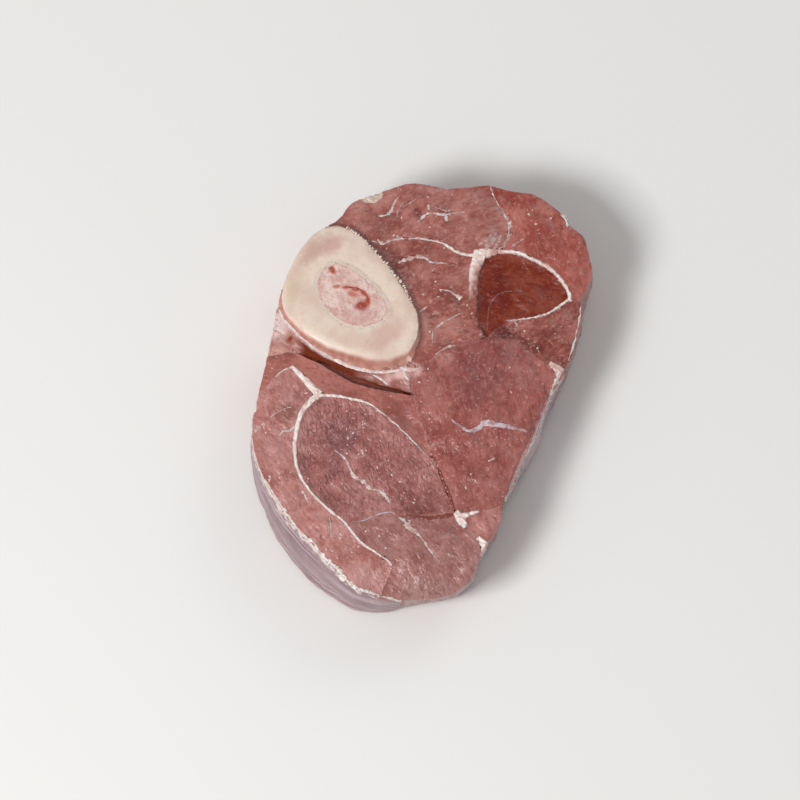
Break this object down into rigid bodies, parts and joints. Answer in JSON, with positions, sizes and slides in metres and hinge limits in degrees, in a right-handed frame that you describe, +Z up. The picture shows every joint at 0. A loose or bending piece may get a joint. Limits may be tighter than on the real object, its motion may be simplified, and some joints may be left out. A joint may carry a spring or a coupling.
{
  "type": "raw beef shank",
  "caption": "Thick slice sawn across a raw beef shank: a round of marrow bone among muscles parted by fat seams, edged with silverskin, lying on a cut face.",
  "frame": {"origin": "under the middle of the slice, on the surface that it lies on", "axes": "+Z up out of the upper cut face, +Y along the slice's long side towards the bone, +X to the right"},
  "size_m": [0.113, 0.1466, 0.0286],
  "materials": {
    "bone": "sawn bone, damp",
    "marrow": "soft, grainy, damp",
    "fat": "firm fat, moist",
    "silverskin": "thin silvery membrane, wet",
    "gristle": "gristle and fat against the bone, moist",
    "muscle": "raw muscle cut across its fibres, wet",
    "muscle_dark": "raw muscle, darker and wet",
    "muscle_bright": "raw muscle, brighter red and wet"
  },
  "bodies": {
    "root": {"bone": "bone", "bone_sheath": "gristle", "fat_seam_lower": "fat", "fat_seam_upper": "fat", "fat_spot_edge": "fat", "fat_spot_lower": "fat", "fat_spot_right": "fat", "fat_spot_top": "fat", "marrow": "marrow", "muscle_band": "muscle", "muscle_bright": "muscle_bright", "muscle_centre": "muscle", "muscle_dark": "muscle_dark", "muscle_inner": "muscle", "muscle_lower": "muscle", "muscle_outer": "muscle", "muscle_oval": "muscle", "muscle_side": "muscle", "muscle_sliver": "muscle", "muscle_upper": "muscle", "silverskin_left": "silverskin", "silverskin_right": "silverskin"}
  },
  "joints": []
}
